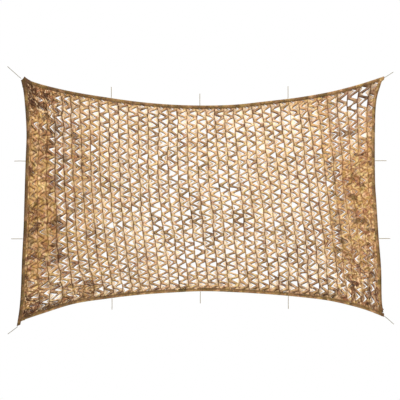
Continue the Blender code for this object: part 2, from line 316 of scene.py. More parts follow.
def make_cord(name, heading, length, mat, rng):
    low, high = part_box(name)
    way = np.array((math.cos(math.radians(heading)), 0.0,
                    math.sin(math.radians(heading))))
    half = np.array((abs(way[2]), 1.0, abs(way[0]))) * CORD / 2
    start = np.array([low[k] + half[k] if way[k] > 1e-6
                      else high[k] - half[k] if way[k] < -1e-6
                      else (low[k] + high[k]) / 2 for k in range(3)])
    side = np.array((way[2], 0.0, -way[0]))
    back = np.array((0.0, 1.0, 0.0))
    # taut, with the hair of a bow that a light cord keeps
    count = max(16, int(length / 0.004))
    bow = rng.uniform(-0.0012, 0.0012, 2)
    path, verts, dips, along = [], [], [], []
    for k in range(count):
        t = k / (count - 1)
        p = (start + way * length * t
             + side * bow[0] * math.sin(math.pi * t)
             + back * bow[1] * math.sin(math.pi * t))
        path.append(p)
    rings = max(24, int(length / 0.0016))
    fine = np.array([[np.interp(j / (rings - 1), np.linspace(0, 1, count),
                                np.array(path)[:, k]) for k in range(3)]
                     for j in range(rings)])
    for j, p in enumerate(fine):
        s = length * j / (rings - 1)
        end = min(1.0, (j + 0.35) / 1.6, (rings - 1 - j + 0.35) / 1.6)
        for i in range(CORD_SIDES):
            a = 2 * math.pi * i / CORD_SIDES
            lobe = abs(math.cos(STRANDS / 2 * (a - 2 * math.pi * s / CORD_PITCH)))
            r = CORD / 2 * (0.72 + 0.28 * lobe ** 0.6) * end ** 0.5
            verts.append(p + (side * math.cos(a) + back * math.sin(a)) * r)
            dips.append(1 - lobe)
            along.append(s / length)
    faces = []
    for j in range(rings - 1):
        for i in range(CORD_SIDES):
            n = (i + 1) % CORD_SIDES
            faces.append((j * CORD_SIDES + i, j * CORD_SIDES + n,
                          (j + 1) * CORD_SIDES + n, (j + 1) * CORD_SIDES + i))
    for j, flip in ((0, True), (rings - 1, False)):
        verts.append(fine[j])
        dips.append(0.6)
        along.append(j / (rings - 1))
        hub = len(verts) - 1
        for i in range(CORD_SIDES):
            n = (i + 1) % CORD_SIDES
            a, b = j * CORD_SIDES + i, j * CORD_SIDES + n
            faces.append((hub, b, a) if flip else (hub, a, b))
    obj = mesh_piece("cord" + name[3:], verts, faces, mat)
    put_floats(obj, "groove", dips)
    put_floats(obj, "along", along)
    put_vectors(obj, "cloth", verts)
    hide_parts(name)
    return obj


cord_rng = np.random.default_rng(11)
cords = [make_cord(name, heading, length,
                   CORD_GREY if "corner" in name else CORD_TAN, cord_rng)
         for name, heading, length in TIES]

# ---------------------------------------------------------------- sizes
COLUMNS, ROWS = 37, 21
BINDING = 0.028
SLOT_DEPTH = 0.0133
GAP = 0.0003
INSET = BINDING - SLOT_DEPTH + GAP
CUT_COLUMN, CUT_ROW = 0.336, -0.18
FLAT = (3.0, 2.0)        # the net before it was hung

TOP_EDGE = (
    # x       z
    (-1.494, 0.230), (-1.328, 0.174), (-1.062, 0.112), (-0.797, 0.068),
    (-0.531, 0.031), (-0.266, 0.008), (0.000, 0.000), (0.266, 0.007),
    (0.531, 0.035), (0.797, 0.067), (1.062, 0.114), (1.295, 0.174),
    (1.500, 0.240),
)
BOTTOM_EDGE = (
    # x       z
    (-1.527, -1.789), (-1.328, -1.722), (-1.062, -1.640), (-0.797, -1.598),
    (-0.531, -1.566), (-0.266, -1.547), (0.000, -1.535), (0.266, -1.543),
    (0.531, -1.559), (0.797, -1.582), (1.062, -1.616), (1.328, -1.682),
    (1.502, -1.747),
)
LEFT_EDGE = (
    # z       x
    (-1.824, -1.533), (-1.789, -1.527), (-1.681, -1.511), (-1.548, -1.500),
    (-1.282, -1.490), (-1.017, -1.477), (-0.751, -1.469), (-0.486, -1.461),
    (-0.220, -1.453), (0.046, -1.469), (0.230, -1.494),
)
RIGHT_EDGE = (
    # z       x
    (-1.747, 1.502), (-1.614, 1.484), (-1.349, 1.478), (-1.083, 1.457),
    (-0.817, 1.440), (-0.618, 1.428), (-0.154, 1.428), (0.046, 1.440),
    (0.178, 1.476), (0.240, 1.500),
)
COLUMN_DRIFT = (
    # power of u, power of v, share
    (0, 0, -0.25), (1, 0, 0.80), (0, 1, 0.10), (1, 1, -0.96),
    (2, 0, -0.74), (0, 2, 0.52), (2, 1, 1.91), (1, 2, -0.95),
)
ROW_DRIFT = (
    # power of u, power of v, share
    (0, 0, -0.15), (1, 0, 0.30), (0, 1, 0.49), (1, 1, -0.60),
    (2, 0, -0.11), (2, 1, -0.13),
)
BILLOWS = (
    # height,  waves across, waves down, phase
    (-0.014, 0.50, 0.50, 0.00),
    (0.006, 1.60, 0.70, 0.80),
    (0.004, 2.70, 1.90, 2.10),
    (0.003, 4.30, 1.30, 4.00),
)
EDGE_FLAT, EDGE_RAMP = 0.036, 0.240

# ---------------------------------------------------------------- shape


def curve_value(rows, at):
    pos = np.array([r[0] for r in rows])
    val = np.array([r[1] for r in rows])
    at = np.clip(np.asarray(at, float), pos[0], pos[-1])
    k = np.clip(np.searchsorted(pos, at, side="left") - 1, 0, len(pos) - 2)
    slope = np.empty(len(pos))
    slope[1:-1] = (val[2:] - val[:-2]) / (pos[2:] - pos[:-2])
    slope[0] = (val[1] - val[0]) / (pos[1] - pos[0])
    slope[-1] = (val[-1] - val[-2]) / (pos[-1] - pos[-2])
    span = pos[k + 1] - pos[k]
    t = (at - pos[k]) / span
    return ((2 * t ** 3 - 3 * t ** 2 + 1) * val[k]
            + (t ** 3 - 2 * t ** 2 + t) * slope[k] * span
            + (3 * t ** 2 - 2 * t ** 3) * val[k + 1]
            + (t ** 3 - t ** 2) * slope[k + 1] * span)


def rise_at(rows, at):
    step = 0.01
    return (curve_value(rows, np.asarray(at) + step)
            - curve_value(rows, np.asarray(at) - step)) / (2 * step)


def lean(rows, at):
    return np.hypot(1.0, rise_at(rows, at))


def top_at(x, inset):
    return curve_value(TOP_EDGE, x) - inset * lean(TOP_EDGE, x)


def bottom_at(x, inset):
    return curve_value(BOTTOM_EDGE, x) + inset * lean(BOTTOM_EDGE, x)


def left_at(z, inset):
    return curve_value(LEFT_EDGE, z) + inset * lean(LEFT_EDGE, z)


def right_at(z, inset):
    return curve_value(RIGHT_EDGE, z) - inset * lean(RIGHT_EDGE, z)


def drift(rows, u, v):
    return sum(share * u ** i * v ** j for i, j, share in rows)


def place(u, v, inset=INSET):
    """x and z of lattice position u, v (0..1 each, v down)."""
    u, v = np.asarray(u, float), np.asarray(v, float)
    across = u + u * (1 - u) * drift(COLUMN_DRIFT, u, v)
    down = v + v * (1 - v) * drift(ROW_DRIFT, u, v)
    x, z = 3.0 * (across - 0.5), -1.8 * down
    for _ in range(8):
        left, right = left_at(z, inset), right_at(z, inset)
        x = left + (right - left) * across
        top, bottom = top_at(x, inset), bottom_at(x, inset)
        z = top + (bottom - top) * down
    return x, z


def near(distance):
    t = np.clip((distance - EDGE_FLAT) / (EDGE_RAMP - EDGE_FLAT), 0.0, 1.0)
    return 1 - t * t * (3 - 2 * t)


def free_of_edges(u, v):
    return ((1 - near(v * 1.70)) * (1 - near((1 - v) * 1.70))
            * (1 - near(u * 2.90)) * (1 - near((1 - u) * 2.90)))


def lift(u, v):
    """y of the cloth at lattice position u, v; the edges are in one plane."""
    billow = sum(height * np.sin(2 * math.pi * a * u + phase)
                 * np.sin(2 * math.pi * b * v + 0.5 * phase)
                 for height, a, b, phase in BILLOWS)
    return free_of_edges(u, v) * billow


def smooth(a, b, x):
    t = np.clip((np.asarray(x, float) - a) / (b - a), 0.0, 1.0)
    return t * t * (3 - 2 * t)


class Field:
    """Smooth seeded noise, -1 to 1, with soft steps one period apart."""

    def __init__(self, seed, period):
        self.grid = np.random.default_rng(seed).uniform(-1, 1, (64, 64))
        self.period = period

    def __call__(self, a, b):
        a = np.asarray(a, float) / self.period + 7.3
        b = np.asarray(b, float) / self.period + 3.1
        i, j = np.floor(a).astype(int), np.floor(b).astype(int)
        s, t = a - i, b - j
        s, t = s * s * (3 - 2 * s), t * t * (3 - 2 * t)
        g = self.grid
        return (g[i % 64, j % 64] * (1 - s) * (1 - t)
                + g[(i + 1) % 64, j % 64] * s * (1 - t)
                + g[i % 64, (j + 1) % 64] * (1 - s) * t
                + g[(i + 1) % 64, (j + 1) % 64] * s * t)


# ---------------------------------------------------------------- net
# How far the cuts stand open, 0 shut to 1 wide, along three bands of the net.
OPEN_AT = (0.000, 0.034, 0.062, 0.077, 0.084, 0.120, 0.148, 0.177, 0.205,
           0.248, 0.305, 0.363, 0.420, 0.477, 0.534, 0.591, 0.648, 0.706,
           0.763, 0.806, 0.834, 0.863, 0.891, 0.920, 0.948, 0.977, 1.000)
OPEN_ROWS = (
    # v,   how far open at each place of OPEN_AT
    (0.10, (0.02, 0.05, 0.10, 0.18, 0.28, 0.42, 0.42, 0.46, 0.56,
            0.78, 0.87, 0.83, 0.80, 0.82, 0.82, 0.80, 0.82, 0.72,
            0.80, 0.62, 0.54, 0.46, 0.54, 0.50, 0.42, 0.36, 0.36)),
    (0.50, (0.02, 0.04, 0.05, 0.06, 0.60, 0.54, 0.52, 0.40, 0.56,
            0.74, 0.80, 0.91, 1.00, 1.00, 1.00, 0.98, 0.80, 0.74,
            0.74, 0.90, 0.60, 0.30, 0.25, 0.08, 0.05, 0.04, 0.02)),
    (0.88, (0.12, 0.16, 0.30, 0.34, 0.36, 0.40, 0.43, 0.46, 0.56,
            0.63, 0.68, 0.88, 0.94, 0.90, 0.78, 0.80, 0.98, 0.92,
            0.78, 0.56, 0.37, 0.26, 0.15, 0.15, 0.24, 0.20, 0.12)),
)
OPEN_PATCHES = (
    # u,    v,    reach u, reach v, change
    (0.955, 0.03, 0.048, 0.095, 0.90),
    (0.068, 0.94, 0.022, 0.030, 1.10),
    (0.945, 0.25, 0.010, 0.020, 0.55),
    (0.978, 0.23, 0.010, 0.025, 0.55),
    (0.120, 0.17, 0.012, 0.025, 0.35),
    (0.145, 0.07, 0.012, 0.025, 0.35),
    (0.240, 0.06, 0.012, 0.025, 0.30),
    (0.45, 0.00, 0.070, 0.05, -0.20),
    (0.80, 0.00, 0.090, 0.06, -0.25),
    (0.53, 1.00, 0.060, 0.05, -0.25),
    (0.20, 0.00, 0.160, 0.045, -0.30),
    (0.52, 0.00, 0.200, 0.025, -0.20),
    (0.20, 0.96, 0.100, 0.060, 0.12),
    (0.875, 0.93, 0.030, 0.050, 0.35),
    (0.965, 0.95, 0.020, 0.030, 0.30),
)
slack, margin = Field(5, 2.2), Field(9, 2.6)


def openness(c, r):
    u, v = np.asarray(c, float) / COLUMNS, np.asarray(r, float) / ROWS
    along = u + 0.010 * margin(0.0 * r, r)
    bands = [np.interp(along, OPEN_AT, band) for _, band in OPEN_ROWS]
    upper = smooth(OPEN_ROWS[0][0], OPEN_ROWS[1][0], v)
    lower = smooth(OPEN_ROWS[1][0], OPEN_ROWS[2][0], v)
    a = (bands[0] * (1 - upper) + bands[1] * (upper - lower)
         + bands[2] * lower)
    for pu, pv, ru, rv, change in OPEN_PATCHES:
        a = a + change * np.exp(-((u - pu) / ru) ** 2 - ((v - pv) / rv) ** 2)
    return a + 0.15 * slack(c, r) * smooth(0.10, 0.40, a)


GATHERED = (
    # u,    v,    reach u, reach v, share: places where the cloth is bunched up
    (0.05, 0.05, 0.110, 0.150, 1.00),
    (0.00, 0.60, 0.080, 0.600, 0.12),
    (0.06, 0.94, 0.120, 0.115, 1.00),
    (0.90, 0.92, 0.130, 0.160, 0.90),
    (0.50, 0.97, 0.500, 0.050, 0.40),
    (0.45, 0.02, 0.500, 0.050, 0.40),
)


def gathered(c, r):
    u, v = np.asarray(c, float) / COLUMNS, np.asarray(r, float) / ROWS
    total = 0.0
    for pu, pv, ru, rv, share in GATHERED:
        total = total + share * np.exp(-((u - pu) / ru) ** 2
                                       - ((v - pv) / rv) ** 2)
    return np.minimum(total, 1.0)


HINGE = 0.035            # hinge of a flap, in from the column line, columns
POINT = 0.66             # point of a cut, in columns
HALF = 0.315             # half height of a cut, in rows
WIDE = (0.62, 0.345)     # the same of a stated cut
PINCH = 0.28             # how far strained ribbons draw in at mid length
ALONG, ACROSS, SPREAD = 5, 4, 4
LOBE = (0.0, 0.035, 0.27, 0.51, 0.755)   # rows of a tongue, root to tip
UNDER = (0.30, 0.00, 0.22, 0.80, 1.00)   # how far each strip rolls under


class Lattice:
    """Incised sheet: ribbons between chevron cuts, tongues on hinges."""

    def __init__(self):
        self.index, self.faces, self.holes = {}, [], []
        self.c, self.r, self.flap, self.t = [], [], [], []
        self.crown, self.edge, self.spine, self.side = [], [], [], []

    def node(self, c, r, flap=-1, t=0.0, crown=0.0, edge=0.0, spine=0.0,
             side=0.0):
        c, r = min(max(c, 0.0), COLUMNS), min(max(r, 0.0), ROWS)
        if abs(t) < 1e-6:
            flap = -1
        key = (round(c, 4), round(r, 4), flap)
        if key not in self.index:
            self.index[key] = len(self.c)
            for store, value in ((self.c, c), (self.r, r), (self.flap, flap),
                                 (self.t, t), (self.crown, crown),
                                 (self.edge, edge), (self.spine, spine),
                                 (self.side, side)):
                store.append(value)
        k = self.index[key]
        self.crown[k] = min(self.crown[k], crown)
        self.edge[k] = max(self.edge[k], edge)
        self.spine[k] = max(self.spine[k], spine)
        return k

    def face(self, *corners):
        kept = []
        for k in corners:
            if k not in kept:
                kept.append(k)
        if len(kept) < 3:
            return
        twice = 0.0
        for a, b in zip(kept, kept[1:] + kept[:1]):
            twice += self.c[a] * self.r[b] - self.c[b] * self.r[a]
        if abs(twice) < 1e-7:
            return
        # lattice rows run down, so a front face runs the other way round
        self.faces.append(kept[::-1] if twice > 0 else kept)

    def ribbon(self, p00, p10, p11, p01):
        """p00-p10 and p01-p11 are the cut edges."""
        c, r = ((p00[k] + p10[k] + p11[k] + p01[k]) / 4 for k in (0, 1))
        rim = min(c, COLUMNS - c, r, ROWS - r)
        thin = 0.34 * math.exp(-((c / COLUMNS - 0.955) / 0.05) ** 2
                               - ((r / ROWS - 0.03) / 0.12) ** 2)
        draw = ((PINCH + thin)
                * float(np.clip(openness(c, r) * 1.2 - 0.2, 0, 1))
                * float(smooth(0.8, 1.6, rim)))
        grid = []
        for i in range(ALONG + 1):
            s = i / ALONG
            row = []
            for j in range(ACROSS + 1):
                t = 0.5 + (j / ACROSS - 0.5) * (1 - draw * math.sin(math.pi * s))
                at = [(1 - s) * (1 - t) * p00[k] + s * (1 - t) * p10[k]
                      + s * t * p11[k] + (1 - s) * t * p01[k] for k in (0, 1)]
                q = j / ACROSS
                row.append(self.node(at[0], at[1], crown=4 * q * (1 - q),
                                     edge=UNDER[j] * (1 - 0.6 * abs(2 * s - 1) ** 4)))
            grid.append(row)
        for i in range(ALONG):
            for j in range(ACROSS):
                self.face(grid[i][j], grid[i + 1][j],
                          grid[i + 1][j + 1], grid[i][j + 1])

    def foot(self, a, b, tip):
        """Strips from the short side a-b on the column line to the tip."""
        before = (self.node(*a, edge=0.3), self.node(*b, edge=0.3))
        for i in range(1, ACROSS + 1):
            s = i / ACROSS
            p = [a[k] + (tip[k] - a[k]) * s for k in (0, 1)]
            q = [b[k] + (tip[k] - b[k]) * s for k in (0, 1)]
            if i == ACROSS:
                self.face(before[0], before[1], self.node(*tip, edge=1.0))
            else:
                now = (self.node(*p, crown=4 * s * (1 - s)),
                       self.node(*q, crown=4 * s * (1 - s)))
                self.face(before[0], before[1], now[1], now[0])
                before = now

    def tongue(self, hinge, side, mid, point, tall):
        """Triangular tongue left by a chevron cut, hung on its hinge."""
        tip = hinge + (point - HINGE) * side
        outside = max(-(mid - tall), mid + tall - ROWS, -min(hinge, tip),
                      max(hinge, tip) - COLUMNS)
        if outside > 0.25:
            number = -1
        else:
            number = len(self.holes)
            self.holes.append((hinge, side, mid))
        rows = []
        for s in LOBE:
            half = tall * (1 - s)
            depth = (point - HINGE) * s * side
            rim = [self.node(hinge + depth, mid - half + 2 * half * j / SPREAD,
                             number, depth if number >= 0 else 0.0,
                             crown=1.0 if 0 < j < SPREAD else 0.0,
                             edge=float(j in (0, SPREAD)),
                             side=2.0 * j / SPREAD - 1.0)
                   for j in range(SPREAD + 1)]
            rows.append(rim)
        end = self.node(tip, mid, number, (point - HINGE) * side
                        if number >= 0 else 0.0, edge=1.0)
        for a, b in zip(rows, rows[1:]):
            for j in range(SPREAD):
                self.face(a[j], a[j + 1], b[j + 1], b[j])
        for j in range(SPREAD):
            self.face(rows[-1][j], rows[-1][j + 1], end)


class Cuts:
    """Point and half height of every cut: hand-set knives, so all differ."""

    def __init__(self, stated):
        g = np.random.default_rng(5)
        shape = (COLUMNS + 4, ROWS + 5, 2)
        self.point = POINT * (1 + np.clip(0.07 * g.normal(size=shape), -0.14, 0.14))
        self.tall = HALF * (1 + np.clip(0.10 * g.normal(size=shape), -0.20, 0.20))
        col, row = np.meshgrid(np.arange(-2, COLUMNS + 2),
                               np.arange(-2, ROWS + 3), indexing="ij")
        at_c = np.stack((col + CUT_COLUMN + HINGE + 0.3,
                         col + CUT_COLUMN + 1 - HINGE - 0.3), axis=-1)
        at_r = np.stack((row + 0.5 + CUT_ROW, row + 1.0 + CUT_ROW), axis=-1)
        for sc, sr in stated:
            k = np.unravel_index(np.argmin((at_c - sc) ** 2 + (at_r - sr) ** 2),
                                 shape)
            self.point[k], self.tall[k] = WIDE

    def __call__(self, col, row, side):
        k = (col + 2, row + 2, 0 if side > 0 else 1)
        return float(self.point[k]), float(self.tall[k])


def incised_sheet(stated):
    net, cuts = Lattice(), Cuts(stated)
    for col in range(-1, COLUMNS):
        line = col + CUT_COLUMN
        lo, hi = line + HINGE, line + 1 - HINGE
        for row in range(-1, ROWS + 1):
            mid = row + 0.5 + CUT_ROW            # gap pointing right
            alt = row + 1.0 + CUT_ROW            # gap pointing left
            point_r, tall_r = cuts(col, row, 1)
            point_l, tall_l = cuts(col, row, -1)
            _, above_l = cuts(col, row - 1, -1)
            point_n, below_r = cuts(col, row + 1, 1)
            pl, pr = line + point_r, line + 1 - point_l
            net.tongue(lo, 1, mid, point_r, tall_r)
            net.tongue(hi, -1, alt, point_l, tall_l)
            net.ribbon((lo, mid + tall_r), (pl, mid), (hi, alt - tall_l), (pr, alt))
            net.ribbon((pr, alt), (hi, alt + tall_l),
                       (line + point_n, mid + 1), (lo, mid + 1 - below_r))
            net.foot((lo, mid + tall_r), (lo, mid + 1 - below_r), (pr, alt))
            net.foot((hi, mid - 0.5 + above_l), (hi, mid + 0.5 - tall_l), (pl, mid))
    # strips along the column lines; hinges right and left of one alternate
    for col in range(-1, COLUMNS + 1):
        line = col + CUT_COLUMN
        for row in range(-1, ROWS + 1):
            mid = row + 0.5 + CUT_ROW
            _, here = cuts(col, row, 1)
            _, below = cuts(col, row + 1, 1)
            _, above_l = cuts(col - 1, row - 1, -1)
            _, here_l = cuts(col - 1, row, -1)
            right = ((-here, 0.3), (-here / 2, 1.0), (0.0, 1.0), (here / 2, 1.0),
                     (here, 0.3), (1 - below, 0.3))
            left = ((-0.5, 1.0), (above_l / 2 - 0.5, 1.0), (above_l - 0.5, 0.3),
                    (0.5 - here_l, 0.3), (0.5 - here_l / 2, 1.0), (0.5, 1.0))
            a = [net.node(line + HINGE, mid + at, spine=k) for at, k in right]
            b = [net.node(line - HINGE, mid + at, spine=k) for at, k in left]
            for k in range(5):
                net.face(a[k], a[k + 1], b[k + 1])
                net.face(a[k], b[k + 1], b[k])
    return net


TONES = (
    # u,    v,    reach u, reach v, darker
    (0.02, 0.02, 0.060, 0.090, 0.06),
    (0.07, 0.22, 0.050, 0.100, 0.05),
    (0.03, 0.42, 0.040, 0.080, -0.03),
    (0.05, 0.66, 0.040, 0.080, 0.02),
    (0.02, 0.98, 0.050, 0.060, 0.06),
    (0.95, 0.42, 0.040, 0.100, 0.00),
    (0.97, 0.97, 0.050, 0.060, 0.06),
    (0.955, 0.03, 0.045, 0.080, 0.10),
    (0.50, 0.50, 0.380, 0.600, -0.070),
    (0.97, 0.45, 0.050, 0.300, -0.020),
)
wander_c, wander_r = Field(1, 3.1), Field(2, 2.7)
fine_c, fine_r = Field(3, 0.9), Field(4, 0.9)
crease, ripple, tint = Field(6, 1.7), Field(7, 0.8), Field(8, 6.0)
fold_a, fold_b, zone = Field(12, 0.42), Field(13, 0.30), Field(31, 1.15)
stroke, zone_b = Field(33, 0.62), Field(35, 2.3)


def stated_places():
    """Lattice places of the openings that the record states."""
    grid_c, grid_r = np.meshgrid(np.linspace(0, COLUMNS, COLUMNS * 8 + 1),
                                 np.linspace(0, ROWS, ROWS * 8 + 1))
    gx, gz = place(grid_c / COLUMNS, grid_r / ROWS)
    found = []
    for opening in frame["record"].get("physics", {}).get("openings", []):
        lo, hi = np.array(opening["box_m"], float)
        mid = (lo + hi) / 2
        k = int(np.argmin((gx - mid[0]) ** 2 + (gz - mid[2]) ** 2))
        found.append((grid_c.ravel()[k], grid_r.ravel()[k]))
    return np.array(found)


def corner_folds(x, z):
    """Folds pulled towards the four corners."""
    total = 0.0
    for cx, cz, count, phase in ((-1.494, 0.230, 17, 0.4), (1.500, 0.240, 15, 1.1),
                                 (-1.527, -1.789, 16, 2.3),
                                 (1.502, -1.747, 15, 0.0)):
        far = np.hypot(x - cx, z - cz)
        turn = np.arctan2(z - cz, x - cx)
        total = total + (np.sin(count * turn + phase + 3.0 * far)
                         * np.exp(-far / 0.30) * smooth(0.03, 0.12, far))
    return 0.0045 * total


def tone_at(c, r):
    u, v = c / COLUMNS, r / ROWS
    tone = 0.02 * tint(c, r)
    for pu, pv, ru, rv, change in TONES:
        tone = tone + change * np.exp(-((u - pu) / ru) ** 2
                                      - ((v - pv) / rv) ** 2)
    return tone


def folded(depth, room):
    """Depth of a strip that folds to and fro between 0 and room."""
    return room - np.abs(room - np.mod(depth, 2 * room))


def one_sheet(faces, count):
    """The faces that hang together, and their points; slivers that the cuts
    leave loose in the corners are dropped."""
    ends = np.array([(f[0], k) for f in faces for k in f[1:]])
    part = np.arange(count)
    while True:
        low = np.minimum(part[ends[:, 0]], part[ends[:, 1]])
        after = part.copy()
        np.minimum.at(after, ends[:, 0], low)
        np.minimum.at(after, ends[:, 1], low)
        after = after[after]
        if np.array_equal(after, part):
            break
        part = after
    main = np.bincount(part[ends[:, 0]]).argmax()
    whole = [f for f in faces if part[f[0]] == main]
    kept = np.unique([k for f in whole for k in f])
    place_of = np.full(count, -1)
    place_of[kept] = np.arange(len(kept))
    return [tuple(place_of[list(f)]) for f in whole], kept


def build_net(mat):
    stated = stated_places()
    net = incised_sheet(stated)
    c, r, t = (np.array(k, float) for k in (net.c, net.r, net.t))
    flap = np.array(net.flap, int)
    crown, edge, spine, side = (np.array(k, float) for k in
                                (net.crown, net.edge, net.spine, net.side))
    rim = np.minimum.reduce([c, COLUMNS - c, r, ROWS - r])

    # the cuts wander a little off their even lattice
    free = smooth(0.0, 1.4, rim)

    def wandered(c, r, free):
        for sc, sr in stated:
            free = free * (1 - np.exp(-((c - sc) ** 2 + (r - sr) ** 2) / 0.8))
        loose = free * (1 + 1.4 * gathered(c, r))
        return (c + loose * (0.095 * wander_c(c, r) + 0.075 * fine_c(c, r)),
                r + loose * (0.090 * wander_r(c, r) + 0.085 * fine_r(c, r)))

    wc, wr = wandered(c, r, free)
    x, z = place(wc / COLUMNS, wr / ROWS)
    y = lift(wc / COLUMNS, wr / ROWS)

    # relief of the strained cloth
    open_here = np.clip(openness(c, r), 0.0, 1.0)
    weight = 0.22 + 0.78 * open_here
    loose = smooth(0.16, 0.50, rim)
    strain = (-0.0040 * crown + 0.0026 * edge + 0.0012 * spine) * weight
    soft = (0.0030 * crease(c, r) + 0.0014 * ripple(c, r)) * (1.15 - open_here)
    y = y + loose * (strain + soft + corner_folds(x, z))

    # tongues turn back round their hinges
    holes = np.array(net.holes, float)
    count = len(holes)
    g = np.random.default_rng(7)
    hole_c = holes[:, 0] + 0.3 * holes[:, 1]
    level = openness(hole_c, holes[:, 2])
    bunched = gathered(hole_c, holes[:, 2])
    spread = 0.06 + 0.16 * np.clip(level, 0, 1) + 0.16 * bunched
    favour = (0.04 + 0.14 * np.exp(-(hole_c / 7.0) ** 2)
              + 0.10 * smooth(27.0, 31.0, hole_c) * (1 - bunched))
    share = (level + spread * g.normal(size=count)
             - favour * holes[:, 1] * smooth(0.2, 0.4, level))
    turned = np.interp(share, (0.08, .22, .41, .60, .78, .92, 1.0, 1.3, 1.6),
                       (0.0, .17, .27, .30, .32, .34, .37, .75, 1.0))
    # the flaps that hang towards the light stand less far back
    turned = turned * (1 - 0.10 * holes[:, 1])
    lifted = g.uniform(0.015, 0.060, count)
    for sc, sr in stated:
        k = int(np.argmin((hole_c - sc) ** 2 + (holes[:, 2] - sr) ** 2))
        turned[k] = 1.0
    inside = np.minimum.reduce([holes[:, 2] + 0.05, ROWS - holes[:, 2] + 0.05,
                                hole_c, COLUMNS - hole_c])
    turned *= smooth(0.05, 0.50, inside)
    final = np.radians(g.uniform(165, 200, count))
    quick = g.uniform(0.0030, 0.0055, count)
    twist = g.normal(0.0, 0.10, count)
    forward = np.where(g.random(count) < 0.04, -0.55, 1.0)
    shut = turned < lifted
    forward = np.where(shut & (g.random(count) < 0.5), -0.8, forward)
    turned = np.maximum(turned, lifted * smooth(0.05, 0.50, inside))

    on = np.where(flap >= 0)[0]
    hole = flap[on]
    hc = holes[hole, 0]
    hwc, hwr = wandered(hc, r[on], smooth(0.0, 1.4, np.minimum.reduce(
        [hc, COLUMNS - hc, r[on], ROWS - r[on]])))
    hx, hz = place(hwc / COLUMNS, hwr / ROWS)
    hy = lift(hwc / COLUMNS, hwr / ROWS) + loose[on] * 0.0030 * weight[on]
    dx, dz = x[on] - hx, z[on] - hz
    far = np.hypot(dx, dz)
    dx, dz = dx / far, dz / far
    n = 24
    steps = (np.arange(n) + 0.5)[:, None] / n * far[None, :]
    angle = (turned[hole] * final[hole] * (1 + twist[hole] * side[on]))[None, :] \
        * (1 - np.exp(-steps / quick[hole][None, :]))
    out = np.cos(angle).mean(axis=0) * far
    back = np.sin(angle).mean(axis=0) * far * forward[hole]
    room = np.maximum(0.0145 - hy, 0.006)
    front = np.clip(hy + 0.0335, 0.004, 0.014)
    back = np.where(back > 0, folded(back, room), -folded(-back, front))
    keep = np.clip(turned[hole] * 2.5 - 0.2, 0.0, 1.0)
    x[on] = hx + dx * out
    z[on] = hz + dz * out
    y[on] = (1 - keep) * y[on] + keep * hy + back
    y = np.clip(y, -0.0335, 0.0148)

    # painted shade on cut rims and along the column lines, and a painted highlight on
    # ribbon crowns
    dark = 0.80 - 0.25 * smooth(31.0, 33.5, c) + 0.20 * open_here
    uneven = ((0.50 + 0.50 * fine_c(2.0 * c + 9.0, 2.0 * r))
              * (0.66 + 0.64 * np.exp(-(c / 9.0) ** 2)
                 + 0.30 * smooth(27.0, 30.0, c))
              * (1 - 0.5 * gathered(c, r))
              * (0.45 + 0.55 * smooth(1.6, 3.2, c)))
    uneven = 1.12 * np.clip(uneven, 0, 1) ** 1.35
    shade = (1 + 0.08 * crown
             - dark * np.clip(np.maximum(0.80 * edge, uneven * spine), 0, 0.85))
    turn = np.clip(turned[hole], 0, 1)
    root = 1 - np.clip(np.abs(t[on]) / (POINT - HINGE), 0, 1)
    full = smooth(0.42, 0.80, level[hole])
    bent = np.clip(2.5 * turn, 0, 1)
    # turned flaps get a painted highlight, with painted shade near the root
    shade[on] = ((1 - bent) * (shade[on] - 0.10 * root)
                 + bent * (1.05 + 0.10 * (1 - full) - 0.22 * root ** 8))
    shade = 1 - (1 - shade) * smooth(0.0, 0.3, rim)
    shade = shade * (1 - 0.36 * np.exp(-((c / COLUMNS - 0.965) / 0.05) ** 2
                                       - ((r / ROWS - 0.03) / 0.10) ** 2))

    # bunched cloth is full of small folds, given as painted light and painted shade;
    # free rims catch the light as a painted highlight
    bunch = gathered(c, r)
    folds = 0.6 * fold_a(c, r) + 0.5 * fold_b(c, r)
    shade = shade * (1 + (0.09 + 0.30 * bunch) * folds * smooth(0.0, 0.5, rim))
    body = np.ones(len(c))
    body[on] = 0.0
    shade = shade * (1 + body * open_here
                     * (0.04 - 0.48 * smooth(-0.10, 0.50, stroke(c, r))))
    beside = np.exp(-(c / 3.2) ** 2)
    shade = shade * (1 + (0.06 + 0.16 * beside) * zone(c, r)
                     + 0.30 * beside * zone_b(c, r)
                     - 0.10 * np.exp(-(c / 0.9) ** 2))
    # painted shadow along the first row below the top binding, on the left two thirds
    shade = shade * (1 - 0.10 * np.exp(-(r / 0.8) ** 2)
                     * (1 - smooth(22.0, 30.0, c)))
    shade = shade * (1 - 0.15 * np.exp(-((ROWS - r) / 2.2) ** 2 - (c / 8.0) ** 2)
                     - 0.10 * np.exp(-((ROWS - r) / 2.2) ** 2
                                     - ((COLUMNS - c) / 7.0) ** 2))
    # painted highlight: open-field ribbons and the lit sides of small folds pale
    # towards cream, turned flaps more strongly
    pale = ((0.14 + 0.45 * np.clip(folds - 0.20, 0, 1)) * open_here
            * (1 - 0.8 * edge))
    lit = g.random(count)
    pale[on] = (np.clip(3.6 * turn - 0.2, 0, 1) * (1 - 0.3 * root ** 3)
                * (full * (0.50 + 0.45 * lit[hole])
                   + (1 - full) * (1 - 0.40 * smooth(30.5, 32.5, hole_c[hole]))
                   * (0.14 + 0.80 * smooth(0.2, 1.0, np.abs(side[on])))))

